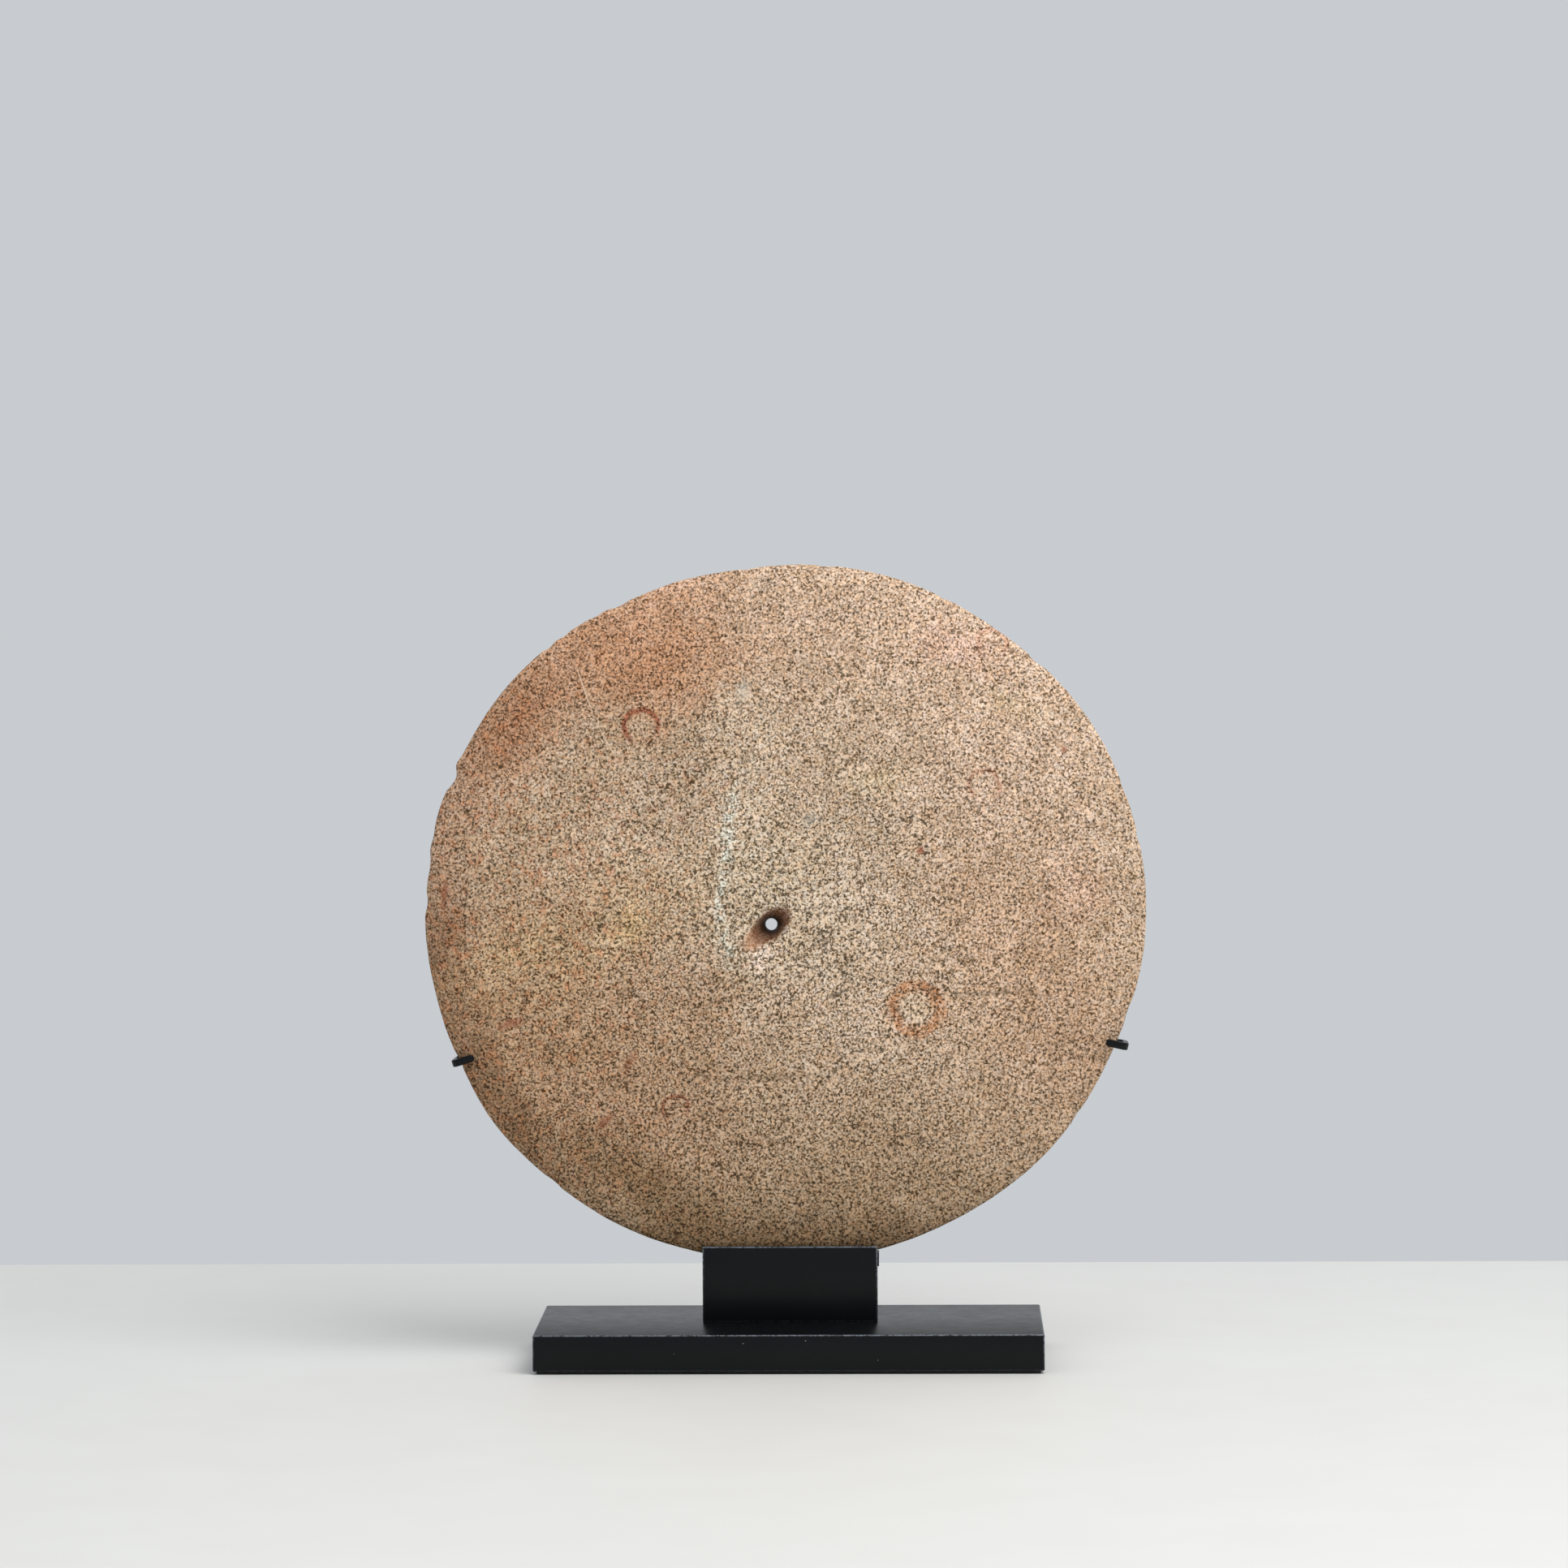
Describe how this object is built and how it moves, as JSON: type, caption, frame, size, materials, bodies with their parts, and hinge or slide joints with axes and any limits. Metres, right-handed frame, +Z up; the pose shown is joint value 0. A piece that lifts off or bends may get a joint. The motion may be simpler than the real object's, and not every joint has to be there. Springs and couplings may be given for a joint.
{
  "type": "perforated stone disc on a stand",
  "caption": "Ancient stone disc with a drilled hole and a worn, chipped rim, held upright by a slotted black stand with hooked arms.",
  "frame": {"origin": "centre of the underside of the stand, on the surface that it rests on", "axes": "+Z up the disc, +X to the right along the plate's long side, -Y towards the viewer, along the hole"},
  "size_m": [0.3008, 0.09, 0.3317],
  "materials": {
    "stone": "matte",
    "black_paint": "satin",
    "felt": "matte"
  },
  "bodies": {
    "root": {"stone_disc": "stone", "base_plate": "black_paint", "support_block": "black_paint", "left_arm": "black_paint", "right_arm": "black_paint", "slot_liner": "felt", "felt_pad": "felt"}
  },
  "joints": []
}
